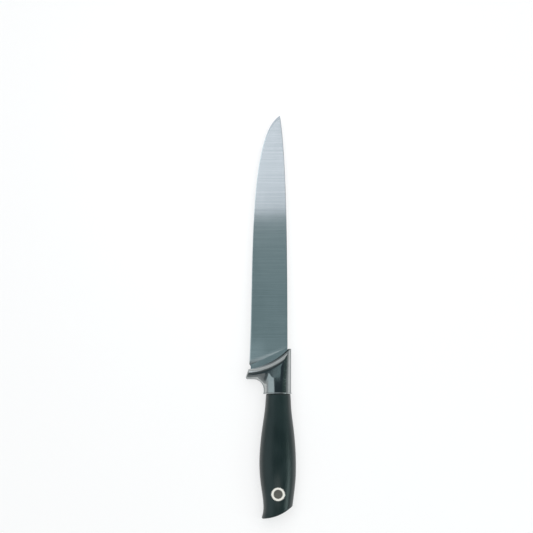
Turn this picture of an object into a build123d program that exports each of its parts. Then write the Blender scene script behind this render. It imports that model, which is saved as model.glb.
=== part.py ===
from build123d import *
import math
import os

# A carving knife that lies on its side. Z is its thickness, +Y runs towards the tip and
# +X towards the spine. Lengths are in millimetres. Reaches across the knife are measured
# from the centre line of the neck, and places along it from the joint between bolster
# and handle. A name that ends in share or shares holds plain ratios.

# Blade
blade_length = 200.2
blade_height = 30.8
spine_reach = 8.2
heel_place = 24.0
spine_thick = 2.2
heel_edge_thick = 0.44
tip_spine_thick = 1.4
bevel_angle = 15.0
bevel_start = 3.0
edge_land = 0.06
bevel_steps = 20
spine_easing = 0.3
heel_notch_depth = 1.1
heel_notch_height = 1.6

# Poles of the edge and spine curves, along the blade and up from the edge line
edge_pole_shares = [(0.361, 0.128), (0.917, -0.064)]
spine_pole_shares = [(0.811, 0.993), (0.398, 0.996)]
tip_height_share = 0.8

# Tang, hidden in the bolster and the handle
shoulder_place = 16.6
tang_width = 11.0
tang_end_width = 10.0
tang_share = 0.886
tang_corner = 3.0
lock_hole = 5.0
lock_hole_shares = [0.24, 0.47, 0.69]

# Bolster
neck_width = 22.0
neck_thick = 17.0
guard_reach = 25.5
guard_under = 11.9
guard_lean = 18.0
guard_round = 1.5
finger_radius = 8.5
front_radius = 55.5
front_width = 4.6
front_center_reach = 31.0
front_start = 19.5
front_lip = 0.2
corner_trim = 2.3
rim_height = 1.2
rim_proud = 0.3
rim_round = 0.45
spigot_length = 4.0
spigot_wall = 4.4

# Neck sections: place up to the front corner, half thickness and fullness
neck_shares = [(0.0, 0.50, 0.55), (0.31, 0.488, 0.58), (0.67, 0.459, 0.65), (1.24, 0.435, 0.65)]
# Guard sections: reach, distance from underside to crest and half thickness
guard_shares = [(1.10, 0.265, 0.247), (0.78, 0.353, 0.312), (0.39, 0.470, 0.388), (0.0, 0.590, 0.424)]
guard_full_share = 0.62
guard_top_share = 1.2
# Front ramp: turns in degrees round the front's centre, and half thicknesses at the ridge
ramp_turns = [-7.2, 12.6, 28.8, 45.0, 66.6]
ramp_ridge_shares = [0.21, 0.29, 0.39, 0.435, 0.35]
# Ramp profile: where it bends over and where it is nearly level, outward and up
bend_shares = (0.35, 0.92)
crest_shares = (1.25, 1.06)

# Ground faces, and the plunge where they rise to the full stock ahead of the bolster
spine_relief = 0.06
plunge_radius = 14.0
plunge_place = 36.5
plunge_turn = 19.8

# Handle
handle_length = 100.5
handle_width = 29.5
handle_thick = 20.5
handle_full_share = 0.6
grip_skin = 2.0
grip_front_round = 1.0
butt_radius = 34.25
butt_center_reach = 12.3
butt_round = 1.2

# Handle stations from joint to butt: place, belly reach, back reach, half thickness
handle_shares = [
    (0.000, 0.312, 0.356, 0.402),
    (0.120, 0.343, 0.381, 0.427),
    (0.244, 0.402, 0.430, 0.462),
    (0.398, 0.466, 0.485, 0.492),
    (0.567, 0.4925, 0.508, 0.500),
    (0.697, 0.465, 0.494, 0.488),
    (0.804, 0.414, 0.454, 0.463),
    (0.896, 0.383, 0.414, 0.440),
    (0.965, 0.405, 0.383, 0.430),
    (1.025, 0.485, 0.353, 0.425),
]
badge_row = handle_shares[6]

# Rivet and the cap on its near end
badge_reach = 0.6
badge_diameter = 11.4
badge_proud = 0.3
badge_seat = 3.2
badge_fit = 0.05
badge_round = 0.4
badge_wall = 0.9
badge_cap = 1.2
badge_rim = 2.1
badge_step = 0.2
badge_dish = 0.25
sleeve_diameter = 6.0
sleeve_end_gap = 1.5
stud_diameter = 4.0
stud_end_gap = 2.0
sleeve_clearance = 0.1

overrun = 5.0

# Places that follow from the sizes above
half_stock = spine_thick / 2
neck_half = neck_width / 2
edge_reach = spine_reach - blade_height
tip_place = heel_place + blade_length
tang_length = tang_share * handle_length
back_reach = max(row[2] for row in handle_shares) * handle_width
badge_place = badge_row[0] * handle_length
badge_half = badge_row[3] * handle_thick
badge_top = badge_half + badge_proud
badge_floor = badge_half - badge_seat
front_center_place = front_start + front_radius
corner_place = front_center_place - math.sqrt(front_radius**2 - (front_center_reach + neck_half) ** 2)

# The origin lies under the middle of the whole knife, on the surface that it rests on
joint = Vector((guard_reach - back_reach) / 2, (handle_length - tip_place) / 2, handle_thick / 2)
side = Plane(origin=joint)


def level(place):
    """Plane across the knife at a place along it, with its second axis up."""
    return Plane(origin=joint + Vector(0, place, 0), x_dir=(1, 0, 0), z_dir=(0, -1, 0))


def upright(reach, place):
    """Plane along the knife, its first axis towards the tip and its second axis up."""
    return Plane(origin=joint + Vector(reach, place, 0), x_dir=(0, 1, 0), z_dir=(1, 0, 0))


def oval(plane, near, far, thick, full_share):
    """Oval section: near and far are its two reaches, thick its half thickness."""
    rise = thick * full_share
    bend_near = near * full_share
    bend_far = far * full_share
    with BuildSketch(plane) as section:
        with BuildLine():
            Bezier((far, 0), (far, rise), (bend_far, thick), (0, thick))
            Bezier((0, thick), (-bend_near, thick), (-near, rise), (-near, 0))
            Bezier((-near, 0), (-near, -rise), (-bend_near, -thick), (0, -thick))
            Bezier((0, -thick), (bend_far, -thick), (far, -rise), (far, 0))
        make_face()
    return section.sketch


def save(piece, name):
    """Label a finished piece and write its file."""
    piece.label = name
    export_step(piece, f"parts/{name}.step")


os.makedirs("parts", exist_ok=True)

# Stamped blank, from the tip to the end of the tang
heel = Vector(edge_reach, heel_place)
tip = Vector(edge_reach + tip_height_share * blade_height, tip_place)
edge_poles = [heel + Vector(up * blade_height, along * blade_length) for along, up in edge_pole_shares]
spine_poles = [heel + Vector(up * blade_height, along * blade_length) for along, up in spine_pole_shares]
notch_reach = edge_reach + heel_notch_depth
notch_place = heel_place - heel_notch_height

cutting_edge = Bezier(heel, *edge_poles, tip)

with BuildPart() as blank:
    with BuildSketch(side.offset(-half_stock)) as blank_outline:
        with BuildLine():
            add(cutting_edge)
            Bezier(tip, *spine_poles, (spine_reach, heel_place))
            Polyline(
                (spine_reach, heel_place),
                (spine_reach, shoulder_place),
                (notch_reach, shoulder_place),
                (notch_reach, notch_place),
                heel,
            )
        make_face()
        with BuildLine():
            Polyline(
                (-tang_width / 2, shoulder_place),
                (tang_width / 2, shoulder_place),
                (tang_end_width / 2, -tang_length),
                (-tang_end_width / 2, -tang_length),
                close=True,
            )
        make_face()
        fillet(blank_outline.vertices().sort_by(Axis.Y)[:2], radius=tang_corner)
        with Locations(*[(0, -share * tang_length) for share in lock_hole_shares]):
            Circle(lock_hole / 2, mode=Mode.SUBTRACT)
        with Locations((badge_reach, -badge_place)):
            Circle(sleeve_diameter / 2 + sleeve_clearance, mode=Mode.SUBTRACT)
    extrude(amount=spine_thick)

# Grinding wheel shape that cuts one face: a tilted plane whose rear end curves up
ground_half = half_stock - spine_relief
face_rise = (ground_half - heel_edge_thick / 2) / blade_height
face_fall = (ground_half - tip_spine_thick / 2) / blade_length
across = Vector(1, 0, face_rise)
onward = Vector(0, 1, -face_fall)
ground = Plane(
    origin=joint + Vector(spine_reach, heel_place, ground_half),
    x_dir=across,
    z_dir=across.cross(onward),
)
turn = math.radians(plunge_turn)
wheel_axis = ground.x_dir * math.cos(turn) + ground.y_dir * math.sin(turn)
wheel_profile = Plane(
    origin=ground.from_local_coords(Vector(-spine_reach, plunge_place - heel_place)),
    x_dir=ground.z_dir.cross(wheel_axis),
    z_dir=wheel_axis,
)

with BuildPart() as grind:
    with BuildSketch(wheel_profile):
        with BuildLine():
            RadiusArc((0, 0), (-plunge_radius, plunge_radius), plunge_radius)
            Polyline(
                (-plunge_radius, plunge_radius),
                (-plunge_radius, 2 * plunge_radius),
                (blade_length, 2 * plunge_radius),
                (blade_length, 0),
                (0, 0),
            )
        make_face()
    extrude(amount=blade_length, both=True)
    mirror(about=side)

# Sharpening wheel shape: a notch of two slopes that follows the cutting edge
bevel_reach = half_stock / math.tan(math.radians(bevel_angle))


def bevel_section(share, beyond=0):
    """Notch across the knife at a share of the cutting edge, or beyond its end."""
    forward = cutting_edge % share
    plane = Plane(
        origin=joint + cutting_edge @ share + forward * beyond,
        x_dir=forward.cross(Vector(0, 0, 1)),
        z_dir=forward,
    )
    with BuildSketch(plane) as section:
        Polygon(
            (0, edge_land / 2),
            (bevel_reach, edge_land / 2 + half_stock),
            (-overrun, edge_land / 2 + half_stock),
            (-overrun, -edge_land / 2 - half_stock),
            (bevel_reach, -edge_land / 2 - half_stock),
            (0, -edge_land / 2),
            align=None,
        )
    return section.sketch


with BuildPart() as sharpening:
    notches = [bevel_section(step / bevel_steps) for step in range(bevel_steps + 1)]
    loft(notches + [bevel_section(1, blade_length / bevel_steps)])
    split(bisect_by=level(heel_place + bevel_start), keep=Keep.BOTTOM)

with BuildPart() as blade:
    add(blank.part)
    add(grind.part, mode=Mode.SUBTRACT)
    spine_face = blade.faces().sort_by_distance(joint + Vector(spine_reach, tip_place / 2))[0]
    fillet(spine_face.edges().filter_by(Axis.Z, reverse=True), radius=spine_easing)
    add(sharpening.part, mode=Mode.SUBTRACT)
save(blade.part, "blade")

# Bolster: an oval neck, and a guard that runs into it over the finger radius
neck = [
    oval(level(place * corner_place), neck_half, neck_half, half * neck_thick, full)
    for place, half, full in neck_shares
]
guard = [
    oval(
        upright(-reach * guard_reach, guard_under + crest * neck_thick),
        crest * neck_thick,
        guard_top_share * neck_thick,
        half * neck_thick,
        guard_full_share,
    )
    for reach, crest, half in guard_shares
]


def ramp_section(turn, ridge):
    """Block with a V cut out of it, on a plane that stands on the front's centre."""
    outward = Vector(math.sin(math.radians(turn)), -math.cos(math.radians(turn)))
    plane = Plane(
        origin=joint + Vector(-front_center_reach, front_center_place),
        x_dir=outward,
        z_dir=outward.cross(Vector(0, 0, 1)),
    )
    lip = half_stock + front_lip
    height = ridge * neck_thick
    bend = Vector(front_radius + front_width * bend_shares[0], height * bend_shares[1])
    crest = Vector(front_radius + front_width * crest_shares[0], height * crest_shares[1])
    end = crest + (crest - bend).normalized() * 2 * overrun
    inside = front_radius - neck_width
    with BuildSketch(plane) as section:
        with BuildLine():
            Line((front_radius, 0), (front_radius, lip))
            Bezier((front_radius, lip), bend, crest)
            Polyline(crest, end, (end.X, neck_thick), (inside, neck_thick), (inside, 0))
            mirror(about=Plane.XZ)
        make_face()
    return section.sketch


with BuildPart() as ramp_cutter:
    loft([ramp_section(turn, ridge) for turn, ridge in zip(ramp_turns, ramp_ridge_shares)])

with BuildPart() as guard_end:
    with BuildSketch(side):
        with Locations((-guard_reach, guard_under + guard_round)):
            Rectangle(
                2 * neck_width,
                2 * neck_width,
                rotation=-guard_lean,
                align=(Align.MAX, Align.CENTER),
            )
    extrude(amount=neck_thick, both=True)

with BuildPart() as rim:
    with BuildSketch(level(0)):
        Ellipse(neck_half + rim_proud, neck_thick / 2 + rim_proud)
    extrude(amount=-rim_height)
    fillet(rim.edges().filter_by(GeomType.LINE, reverse=True), radius=rim_round)

with BuildPart() as spigot:
    with BuildSketch(level(0)):
        Ellipse(neck_half - spigot_wall, neck_thick / 2 - spigot_wall)
    extrude(amount=spigot_length)

with BuildPart() as bolster:
    loft(neck)
    loft(guard)
    add(ramp_cutter.part, mode=Mode.SUBTRACT)
    finger_corner = joint + Vector(-neck_half, guard_under)
    fillet(bolster.edges().sort_by_distance(finger_corner)[0], radius=finger_radius)
    split(bisect_by=level(corner_place - corner_trim), keep=Keep.TOP)
    add(guard_end.part, mode=Mode.SUBTRACT)
    end_face = bolster.faces().filter_by(GeomType.PLANE).sort_by(Axis.X)[0]
    fillet(end_face.edges(), radius=guard_round)
    add(rim.part)
    add(spigot.part)
    add(blank.part, mode=Mode.SUBTRACT)
save(bolster.part, "bolster")


def handle_body(skin):
    """Handle with its cut butt, drawn in by a skin all round."""
    sections = [
        oval(
            level(-place * handle_length),
            belly * handle_width - skin,
            back * handle_width - skin,
            half * handle_thick - skin,
            handle_full_share,
        )
        for place, belly, back, half in handle_shares
    ]
    with BuildPart() as body:
        loft(sections)
        with BuildSketch(side):
            with Locations((-butt_center_reach, butt_radius - handle_length)):
                Rectangle(2 * butt_radius, 2 * butt_radius, align=(Align.CENTER, Align.MAX))
                Circle(butt_radius - skin, mode=Mode.SUBTRACT)
        extrude(amount=handle_thick, both=True, mode=Mode.SUBTRACT)
    return body.part


badge_plane = Plane(origin=joint + Vector(badge_reach, -badge_place))

# Space in the handle for the cap, the sleeve's head and the sleeve between them
with BuildPart() as badge_space:
    with BuildSketch(badge_plane.offset(badge_floor)):
        Circle(badge_diameter / 2 + badge_fit)
    extrude(amount=handle_thick)
    mirror(about=side)
    with BuildSketch(badge_plane):
        Circle(sleeve_diameter / 2)
    extrude(amount=badge_floor, both=True)

core_body = handle_body(grip_skin)

with BuildPart() as handle_core:
    add(core_body)
    add(blank.part, mode=Mode.SUBTRACT)
    add(spigot.part, mode=Mode.SUBTRACT)
    add(badge_space.part, mode=Mode.SUBTRACT)
save(handle_core.part, "handle_core")

with BuildPart() as handle_grip:
    add(handle_body(0))
    fillet(handle_grip.faces().sort_by(Axis.Y)[-1].edges(), radius=grip_front_round)
    fillet(handle_grip.faces().sort_by(Axis.Y)[0].edges(), radius=butt_round)
    add(core_body, mode=Mode.SUBTRACT)
    add(badge_space.part, mode=Mode.SUBTRACT)
save(handle_grip.part, "handle_grip")

# Rivet: a sleeve with a plain head on the far side, and a stud pressed into it
with BuildPart() as rivet_sleeve:
    with BuildSketch(badge_plane.offset(-badge_top)):
        Circle(badge_diameter / 2)
    extrude(amount=badge_seat + badge_proud)
    fillet(rivet_sleeve.edges().sort_by(Axis.Z)[0], radius=badge_round)
    with BuildSketch(badge_plane.offset(-badge_floor)):
        Circle(sleeve_diameter / 2)
    extrude(amount=2 * badge_floor - sleeve_end_gap)
    with BuildSketch(badge_plane.offset(-badge_floor)):
        Circle(stud_diameter / 2)
    extrude(amount=2 * badge_floor, mode=Mode.SUBTRACT)
save(rivet_sleeve.part, "rivet_sleeve")

with BuildPart() as rivet_stud:
    with BuildSketch(badge_plane.offset(badge_floor)):
        Circle(badge_diameter / 2 - badge_wall)
    extrude(amount=badge_seat + badge_proud - badge_cap)
    with BuildSketch(badge_plane.offset(stud_end_gap - badge_floor)):
        Circle(stud_diameter / 2)
    extrude(amount=2 * badge_floor - stud_end_gap)
save(rivet_stud.part, "rivet_stud")

# Medallion: a cap over the stud's head, with a flat rim round a dished middle
cap_plane = Plane(origin=badge_plane.origin, x_dir=(1, 0, 0), z_dir=(0, -1, 0))
cap_radius = badge_diameter / 2
dish_radius = cap_radius - badge_rim
dish_sphere = (dish_radius**2 + badge_dish**2) / (2 * badge_dish)
dish_turn = math.degrees(math.asin(dish_radius / dish_sphere))
dish_floor = badge_top - badge_step - badge_dish

with BuildPart() as medallion:
    with BuildSketch(cap_plane):
        with BuildLine():
            Polyline(
                (0, badge_top - badge_cap),
                (cap_radius - badge_wall, badge_top - badge_cap),
                (cap_radius - badge_wall, badge_floor),
                (cap_radius, badge_floor),
                (cap_radius, badge_top - badge_round),
            )
            edge_arc = JernArc((cap_radius, badge_top - badge_round), (0, 1), badge_round, 90)
            Line(edge_arc @ 1, (dish_radius + badge_step, badge_top))
            Line((dish_radius + badge_step, badge_top), (dish_radius, badge_top - badge_step))
            dish_arc = JernArc((0, dish_floor), (1, 0), dish_sphere, dish_turn)
            Line(dish_arc @ 1, (dish_radius, badge_top - badge_step))
            Line((0, dish_floor), (0, badge_top - badge_cap))
        make_face()
    revolve(axis=Axis(badge_plane.origin, (0, 0, 1)))
save(medallion.part, "medallion")
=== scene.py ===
# %% [markdown]
# # A carving knife, dressed for its portrait
#
# The knife lies on its side on a pale floor. Its solids come ready-made from model.glb, at
# real size and in metres: Z is the knife's thickness, +Y runs towards the tip and +X
# towards the spine. They have the right shape already, so they are never moved or
# reshaped here. This lesson gives them light, a camera and their finishes.

# %% Load the solids
import math
import bpy
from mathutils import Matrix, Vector


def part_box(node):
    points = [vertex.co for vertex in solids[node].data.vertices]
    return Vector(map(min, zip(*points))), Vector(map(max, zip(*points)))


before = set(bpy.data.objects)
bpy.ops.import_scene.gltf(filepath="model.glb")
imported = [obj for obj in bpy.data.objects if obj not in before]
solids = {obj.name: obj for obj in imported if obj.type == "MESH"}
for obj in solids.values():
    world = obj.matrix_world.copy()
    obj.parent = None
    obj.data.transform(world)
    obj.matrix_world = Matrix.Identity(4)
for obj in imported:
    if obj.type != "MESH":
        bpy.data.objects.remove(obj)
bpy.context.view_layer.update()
print("solids:", sorted(solids))

# %% [markdown]
# ## Shader maths that reads like Python
#
# Blender's materials are graphs of nodes, and a sum of two masks takes three calls to
# build by hand. A small class can wrap one output of a node and overload the operators,
# so that `1 - mask * 0.5` adds the Math nodes by itself. The reflected forms, such as
# `__rsub__`, are there for sums that start with a plain number.
#
# Every other node comes from one method, which makes the node, applies its settings, then
# fills or links its sockets. The shorter methods below it are only common uses of it.

# %% Wrapped sockets
class Value:
    """One output of a node, which can be used in Python sums."""

    def __init__(self, sheet, socket):
        self.sheet = sheet
        self.socket = socket

    def math(self, operation, *others):
        terms = dict(enumerate((self, *others)))
        return self.sheet.node("Math", {"operation": operation}, terms)

    def __add__(self, other):
        return self.math("ADD", other)

    def __mul__(self, other):
        return self.math("MULTIPLY", other)

    def __rsub__(self, other):
        return self.sheet.node("Math", {"operation": "SUBTRACT"}, {0: other, 1: self})

    __radd__ = __add__
    __rmul__ = __mul__

    def ramp(self, low, high):
        """Smooth mask from 0 at low to 1 at high. Low may be the larger of the two."""
        settings = {"interpolation_type": "SMOOTHSTEP"}
        sockets = {"Value": self, "From Min": low, "From Max": high}
        return self.sheet.node("MapRange", settings, sockets)


class Sheet:
    """The node sheet of one material or of the world."""

    def __init__(self, owner):
        owner.use_nodes = True
        self.tree = owner.node_tree
        self.tree.nodes.clear()

    def node(self, kind, settings=None, sockets=None, out=0):
        made = self.tree.nodes.new("ShaderNode" + kind)
        for name, setting in (settings or {}).items():
            setattr(made, name, setting)
        for name, value in (sockets or {}).items():
            if isinstance(value, Value):
                self.tree.links.new(value.socket, made.inputs[name])
            else:
                made.inputs[name].default_value = value
        return Value(self, made.outputs[out]) if made.outputs else made

    def position(self):
        return self.node("TexCoord", out="Object")

    def scaled(self, vector, scale):
        sockets = {0: vector, 1: scale}
        return self.node("VectorMath", {"operation": "MULTIPLY"}, sockets)

    def noise(self, scale, detail, roughness):
        """Noise with one scale, or with one for each direction."""
        scales = scale if isinstance(scale, tuple) else (scale,) * 3
        place = self.scaled(self.position(), scales)
        sockets = {"Vector": place, "Scale": 1.0, "Detail": detail, "Roughness": roughness}
        return self.node("TexNoise", {}, sockets)

    def blend(self, mask, low, high):
        """Colour that goes from low to high with the mask."""
        sockets = {0: mask, 6: low, 7: high}
        return self.node("Mix", {"data_type": "RGBA"}, sockets, out=2)

    def bump(self, height, distance, strength):
        sockets = {"Height": height, "Distance": distance, "Strength": strength}
        return self.node("Bump", {}, sockets)


print("sheet methods:", [name for name in vars(Sheet) if not name.startswith("_")])

# %% [markdown]
# ## A finish that goes on a solid
#
# Every finish here is one Principled shader, with its changing values linked and its even
# values set on its own sockets. A helper makes the material, hands its sheet to a recipe
# and puts the result on the solid, in place of the plain material that came with it.

# %% Dressing helper
def finish(name, recipe, even, *nodes):
    """Make a material from a recipe's links and even values, and put it on solids."""
    material = bpy.data.materials.new(name)
    sheet = Sheet(material)
    shader = sheet.node("BsdfPrincipled", {}, {**even, **recipe(sheet)})
    sheet.node("OutputMaterial", {}, {"Surface": shader})
    for node in nodes:
        slots = solids[node].data.materials
        slots.clear()
        slots.append(material)
    print(name, "with", len(sheet.tree.nodes), "nodes on", ", ".join(nodes))


print("helper ready for", len(solids), "solids")

# %% [markdown]
# ## The floor
#
# The knife lies on a plain sheet that runs far beyond the picture. A white floor under
# soft light renders a touch grey. The lamps could be turned up until it clips, but then
# the knife would be too bright as well. Instead part of the floor glows for the camera,
# and for rays that come off metal or through glass, so that the steel mirrors the same
# white. The rest of the floor stays matt and takes the knife's shadow.

# %% Floor
floor_half = 3.0
floor_corners = [(-1, -1), (1, -1), (1, 1), (-1, 1)]
floor_points = [(floor_half * x, floor_half * y, 0.0) for x, y in floor_corners]
floor_mesh = bpy.data.meshes.new("floor")
floor_mesh.from_pydata(floor_points, [], [(0, 1, 2, 3)])
floor = bpy.data.objects.new("floor", floor_mesh)
bpy.context.scene.collection.objects.link(floor)

white = (1.0, 1.0, 1.0, 1.0)
floor_white = (0.97, 0.97, 0.97, 1.0)
glow_share = 0.65
glow_rays = ("Camera", "Glossy", "Transmission")
floor_paper = bpy.data.materials.new("floor_paper")
paper = Sheet(floor_paper)
seen = sum(paper.node("LightPath", out=f"Is {kind} Ray") for kind in glow_rays)
matt = paper.node("BsdfDiffuse", {}, {"Color": floor_white})
glow = paper.node("Emission", {}, {"Color": white, "Strength": 1.0})
lit = paper.node("MixShader", {}, {0: seen * glow_share, 1: matt, 2: glow})
paper.node("OutputMaterial", {}, {"Surface": lit})
floor_mesh.materials.append(floor_paper)
print("floor of", 2 * floor_half, "m")

# %% [markdown]
# ## The studio around it
#
# Steel has hardly a colour of its own: it shows what stands round it. An even white
# world would make the blade look like paper. Real studios light cutlery in a dark room
# with pale screens, and so does this one. Straight overhead it is nearly black. A pale
# screen with dimmer corners stands on the cutting-edge side, a dark one on the spine side
# and a middling one past the handle. Low down they all fade into one grey wall. Past the
# tip the room is split in two: dim above and bright below. The bolster's ramp looks that
# way, and mirrors it as one bright band with a dark one behind it.
#
# A direction in the room is a vector of length one, so its X, Y and Z say how far it
# leans to the spine side, towards the tip and upwards. Each part of the room is a smooth
# mask of one of them, and the later parts are laid over the earlier ones.

# %% World
world = bpy.data.worlds.new("studio_room")
bpy.context.scene.world = world
room = Sheet(world)
looking = room.node("TexCoord", out="Generated")
sideways, tipward, height = (
    room.node("SeparateXYZ", {}, {0: looking}, out=axis) for axis in "XYZ"
)
along = tipward.math("ABSOLUTE")

overhead = (0.040, 0.058, 0.068, 1.0)
edge_screen = (0.66, 0.78, 0.82, 1.0)
edge_corner = (0.13, 0.155, 0.165, 1.0)
spine_screen = (0.058, 0.090, 0.088, 1.0)
end_screen = (0.28, 0.30, 0.31, 1.0)
wall = (0.47, 0.50, 0.51, 1.0)
tip_screen = (0.10, 0.12, 0.125, 1.0)
tip_wall = (0.74, 0.77, 0.78, 1.0)

edge_color = room.blend(along.ramp(0.10, 0.25), edge_screen, edge_corner)
edge_color = room.blend(tipward.ramp(0.10, 0.25), edge_color, overhead)
spine_color = room.blend(along.ramp(0.20, 0.45), spine_screen, end_screen)
tip_color = room.blend(height.ramp(0.62, 0.40), tip_screen, tip_wall)

beside_edge = sideways.ramp(-0.30, -0.40)
beside_spine = sideways.ramp(0.50, 0.60)
past_ends = along.ramp(0.45, 0.60)
low_down = height.ramp(0.60, 0.10)
past_tip = tipward.ramp(0.45, 0.60)
below_floor = height.ramp(-0.02, -0.10)

room_color = room.blend(beside_edge, overhead, edge_color)
room_color = room.blend(beside_spine, room_color, spine_color)
room_color = room.blend(past_ends, room_color, end_screen)
room_color = room.blend(low_down, room_color, wall)
room_color = room.blend(past_tip, room_color, tip_color)
room_color = room.blend(below_floor, room_color, white)
sky = room.node("Background", {}, {"Color": room_color, "Strength": 1.0})
room.node("OutputWorld", {}, {"Surface": sky})
print("room with", len(room.tree.nodes), "nodes")

# %% [markdown]
# ## Light from above
#
# One large soft box hangs over the knife and gives most of the light, at a level where a
# colour renders about as it is written. It would show in every polished face as a white
# square, so it is hidden from mirror rays: it lights, and the room does the mirroring. A
# narrow strip on the spine side is mirrored, and draws the highlight down the handle.
#
# A lamp's radiance is its power over pi times its area, so the helper takes the radiance
# that a surface would mirror, and works out the power.

# %% Soft boxes
def soft_box(name, place, target, width, length, radiance, tint=(1.0, 1.0, 1.0)):
    """Rectangular lamp at a place, facing a target, and not seen by the camera itself."""
    data = bpy.data.lights.new(name, "AREA")
    data.shape = "RECTANGLE"
    data.size = width
    data.size_y = length
    data.energy = radiance * math.pi * width * length
    data.color = tint
    lamp = bpy.data.objects.new(name, data)
    lamp.location = place
    facing = Vector(target) - Vector(place)
    lamp.rotation_euler = facing.to_track_quat("-Z", "Y").to_euler()
    lamp.visible_camera = False
    bpy.context.scene.collection.objects.link(lamp)
    print(name, "gives", round(data.energy, 4), "W")
    return lamp


sky_box = soft_box(
    "sky_box",
    place=(0.10, 0.15, 1.10),
    target=(0.0, 0.0, 0.0),
    width=1.8,
    length=1.8,
    radiance=1.6,
)
sky_box.visible_glossy = False
soft_box(
    "spine_strip",
    place=(0.60, -0.22, 0.45),
    target=(0.0, -0.13, 0.0),
    width=0.17,
    length=0.22,
    radiance=4.0,
    tint=(0.78, 1.0, 0.96),
)

# %% [markdown]
# ## Cards for the steel to mirror
#
# Seen from straight above, a flat face mirrors only what hangs right over it. Four small
# cards hang low over the knife for that: a pale one over the blade's upper third, a dim
# green-grey one over the rest, a weak one that lifts the heel, and a pale one over the
# rivet's cap. The lower a card hangs, the sharper its border shows in brushed steel. The
# green-grey card is hardly wider than the blade, so that the bolster's ramp looks past it
# and keeps its dark band.
#
# Ahead of the bolster the ground faces rise in a hollow that leans towards the tip. A dim
# box further up, on that side, gives it the pale streak that marks the end of the grind.

# %% Cards
def card(name, across, lengthwise, height, radiance, tint):
    """Level lamp over the knife, between two places across it and two along it."""
    left, right = across
    start, end = lengthwise
    middle_x, middle_y = (left + right) / 2, (start + end) / 2
    place = (middle_x, middle_y, height)
    below = (middle_x, middle_y, 0.0)
    return soft_box(name, place, below, right - left, end - start, radiance, tint)


bolster_end, pale_start, past_the_tip = -0.043, 0.084, 0.25
blade_card_height = 0.12
card(
    "tip_card",
    across=(-0.082, 0.058),
    lengthwise=(pale_start, past_the_tip),
    height=blade_card_height,
    radiance=0.94,
    tint=(0.89, 0.93, 1.0),
)
card(
    "blade_card",
    across=(-0.037, 0.038),
    lengthwise=(bolster_end, pale_start),
    height=blade_card_height,
    radiance=0.265,
    tint=(0.71, 0.97, 1.0),
)
card(
    "heel_card",
    across=(-0.050, -0.010),
    lengthwise=(bolster_end, -0.020),
    height=0.10,
    radiance=0.14,
    tint=(0.80, 0.95, 1.0),
)
card(
    "cap_card",
    across=(-0.003, 0.015),
    lengthwise=(-0.152, -0.134),
    height=0.06,
    radiance=1.1,
    tint=(1.0, 0.98, 0.94),
)
soft_box(
    "plunge_box",
    place=(-0.097, 0.20, 0.60),
    target=(0.0, -0.03, 0.0),
    width=0.09,
    length=0.24,
    radiance=0.36,
)

# %% [markdown]
# ## The camera
#
# The knife is seen square on from above, with its tip up. The picture shows no
# perspective, so an orthographic camera is used: it needs a place and the width of the
# strip it sees, and its distance doesn't matter.

# %% Camera
picture_width = 0.4291
picture_center = Vector((-0.00352, 0.04079, 0.0))
camera_height = 0.9
camera_data = bpy.data.cameras.new("camera")
camera_data.type = "ORTHO"
camera_data.ortho_scale = picture_width
camera = bpy.data.objects.new("camera", camera_data)
camera.location = picture_center + Vector((0.0, 0.0, camera_height))
bpy.context.scene.collection.objects.link(camera)
bpy.context.scene.camera = camera
bpy.context.scene.view_settings.view_transform = "Standard"
print("picture", picture_width, "m wide")

# %% [markdown]
# ## The blade's ground steel
#
# The blade is ground across its width and then brushed fine, so its surface is covered
# in hair-thin lines that run from edge to spine. Noise that is stretched about a hundred
# times in one direction gives such lines. They move the roughness and a very shallow
# bump, and a slower noise adds the faint cloudiness that handled steel has. A few
# scratches run the other way, along the blade.

# %% Blade finish
def blade_recipe(sheet):
    hair = sheet.noise((40.0, 7000.0, 40.0), 4.0, 0.6)
    streak = sheet.noise((14.0, 900.0, 14.0), 3.0, 0.55)
    cloud = sheet.noise((45.0, 22.0, 45.0), 4.0, 0.55)
    scratch = sheet.noise((1500.0, 18.0, 900.0), 2.0, 0.4).ramp(0.70, 0.78)
    lines = hair * 0.6 + streak * 0.4
    color = sheet.blend(
        streak.ramp(0.3, 0.7) * 0.6 + cloud.ramp(0.35, 0.65) * 0.4,
        (0.50, 0.535, 0.545, 1.0),
        (0.60, 0.63, 0.64, 1.0),
    )
    roughness = 0.15 + lines * 0.06 + cloud.ramp(0.35, 0.7) * 0.02 + scratch * 0.03
    normal = sheet.bump(lines + scratch * 0.3, distance=0.000008, strength=0.5)
    return {"Base Color": color, "Roughness": roughness, "Normal": normal}


finish("brushed_blade", blade_recipe, {"Metallic": 1.0}, "blade")

# %% [markdown]
# ## The bolster's finer polish
#
# The bolster is the same steel, but cast round and polished smoother, so it mirrors the
# room with sharper borders. Its polishing lines are finer and run round the neck. Fingers
# leave a little dullness on it, which is a slow noise in the roughness.
#
# Its steep sides mirror the white floor and would melt into it. Specular Tint is the
# colour that a metal's reflection takes where it is seen at a slant, and a grey one here
# is painted
# shade: it darkens the steep sides and leaves the faces that look up as they are.

# %% Bolster finish
def bolster_recipe(sheet):
    hair = sheet.noise((150.0, 9000.0, 150.0), 3.0, 0.5)
    smudge = sheet.noise(110.0, 4.0, 0.6)
    color = sheet.blend(
        smudge.ramp(0.3, 0.7), (0.40, 0.42, 0.418, 1.0), (0.47, 0.483, 0.48, 1.0)
    )
    roughness = 0.09 + hair * 0.05 + smudge.ramp(0.45, 0.75) * 0.06
    normal = sheet.bump(hair, distance=0.000006, strength=0.5)
    return {"Base Color": color, "Roughness": roughness, "Normal": normal}


# The grey Specular Tint paints shade on the bolster's steep sides.
bolster_settings_with_painted_side_shade = {"Metallic": 1.0, "Specular Tint": (0.35, 0.37, 0.38, 1.0)}
finish("polished_bolster", bolster_recipe, bolster_settings_with_painted_side_shade, "bolster")

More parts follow.
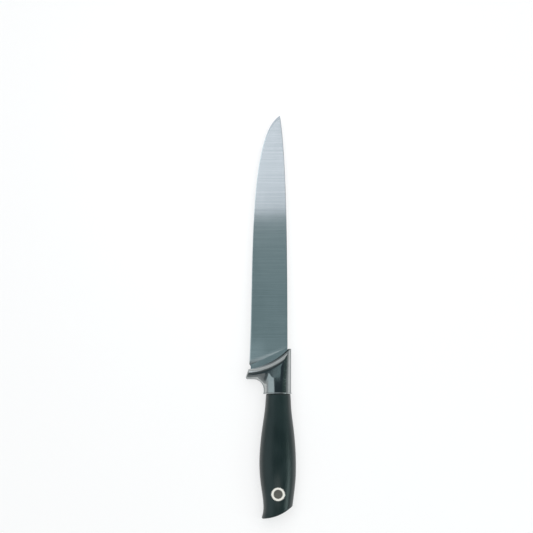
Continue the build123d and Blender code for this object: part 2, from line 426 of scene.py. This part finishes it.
# %% [markdown]
# ## The soft-touch grip
#
# The grip is a rubbery skin over a harder core, nearly black with a cool green cast. Its
# satin look comes from a grain too fine to see one by one, so a small-scale noise feeds a
# bump and a middling roughness does the rest. A slow noise, for where hands have held it,
# shifts the colour and the roughness a little.

# %% Grip finish
def grip_recipe(sheet):
    grain = sheet.noise(3600.0, 3.0, 0.6)
    pores = sheet.noise(900.0, 2.0, 0.5)
    hand = sheet.noise((70.0, 45.0, 70.0), 3.0, 0.5)
    color = sheet.blend(
        hand.ramp(0.35, 0.65) * 0.7 + pores * 0.3,
        (0.004, 0.013, 0.013, 1.0),
        (0.008, 0.020, 0.020, 1.0),
    )
    roughness = 0.31 + hand.ramp(0.35, 0.7) * 0.05 + grain * 0.05
    normal = sheet.bump(grain * 0.7 + pores * 0.3, distance=0.00004, strength=0.5)
    return {"Base Color": color, "Roughness": roughness, "Normal": normal}


finish("soft_grip", grip_recipe, {"IOR": 1.5, "Specular IOR Level": 0.75}, "handle_grip")

# %% [markdown]
# ## The core inside the grip
#
# The core carries the grip and can't be seen, but it gets a real finish too: a plain
# moulded plastic with a slightly sandy skin, as it leaves the mould.

# %% Core finish
def core_recipe(sheet):
    sand = sheet.noise(2500.0, 2.0, 0.5)
    flow = sheet.noise((60.0, 15.0, 60.0), 2.0, 0.5)
    color = sheet.blend(flow, (0.040, 0.041, 0.043, 1.0), (0.060, 0.061, 0.064, 1.0))
    normal = sheet.bump(sand, distance=0.00005, strength=0.6)
    return {"Base Color": color, "Roughness": 0.5 + sand * 0.15, "Normal": normal}


finish("moulded_core", core_recipe, {}, "handle_core")

# %% [markdown]
# ## Turned steel for the rivet
#
# Rivets and their caps are turned on a lathe, which leaves rings round the axis. A
# distance from the axis, fed to a sine, gives the rings. The axis is measured from the
# cap's own box, which keeps it right if the knife's sizes change.

# %% Rivet finish
cap_low, cap_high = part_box("medallion")
cap_center = (cap_low + cap_high) / 2
ring_pitch = 0.00022


def axis_distance(sheet):
    """Distance from the rivet's axis, measured across the knife."""
    axis = (cap_center.x, cap_center.y, 0.0)
    sockets = {0: sheet.position(), 1: axis}
    offset = sheet.node("VectorMath", {"operation": "SUBTRACT"}, sockets)
    flat = sheet.scaled(offset, (1.0, 1.0, 0.0))
    return sheet.node("VectorMath", {"operation": "LENGTH"}, {0: flat}, out="Value")


def lathe_rings(away):
    """Height of the rings, from 0 to 1, at a distance from the axis."""
    return (away * (2 * math.pi / ring_pitch)).math("SINE") * 0.5 + 0.5


def turned_recipe(sheet):
    rings = lathe_rings(axis_distance(sheet))
    dull = sheet.noise(400.0, 3.0, 0.5)
    color = sheet.blend(dull, (0.54, 0.55, 0.54, 1.0), (0.64, 0.65, 0.64, 1.0))
    normal = sheet.bump(rings, distance=0.000008, strength=0.6)
    return {"Base Color": color, "Roughness": 0.2 + dull * 0.12, "Normal": normal}


print("rivet's axis at", [round(place, 5) for place in cap_center.xy])
finish("turned_rivet", turned_recipe, {"Metallic": 1.0}, "rivet_sleeve", "rivet_stud")

# %% [markdown]
# ## The cap with its dark dish
#
# The cap over the rivet has a bright rim. The dish in its middle is left darker and
# duller, so that the rim stands out, and only the dish keeps its lathe rings.

# %% Cap finish
dish_radius = 0.0036
dish_border = 0.0001


def cap_recipe(sheet):
    away = axis_distance(sheet)
    dish = 1 - away.ramp(dish_radius - dish_border, dish_radius + dish_border)
    dull = sheet.noise(500.0, 3.0, 0.5)
    tone = sheet.blend(dull, (0.74, 0.74, 0.70, 1.0), (0.82, 0.82, 0.78, 1.0))
    color = sheet.blend(dish, tone, (0.22, 0.22, 0.20, 1.0))
    normal = sheet.bump(lathe_rings(away) * dish, distance=0.00001, strength=0.8)
    roughness = 0.14 + dish * 0.2 + dull * 0.06
    return {"Base Color": color, "Roughness": roughness, "Normal": normal}


finish("turned_cap", cap_recipe, {"Metallic": 1.0}, "medallion")

# %% [markdown]
# ## Smooth shading
#
# The solids arrive as fine triangle meshes with their own normals. Nothing is added to
# their shape. It is worth a check that every face is shaded smooth, because one flat
# shaded patch would show as facets in the steel.

# %% Shading check
for name, solid in sorted(solids.items()):
    flat_faces = sum(not face.use_smooth for face in solid.data.polygons)
    print(name, len(solid.data.polygons), "faces,", flat_faces, "shaded flat")

# %% [markdown]
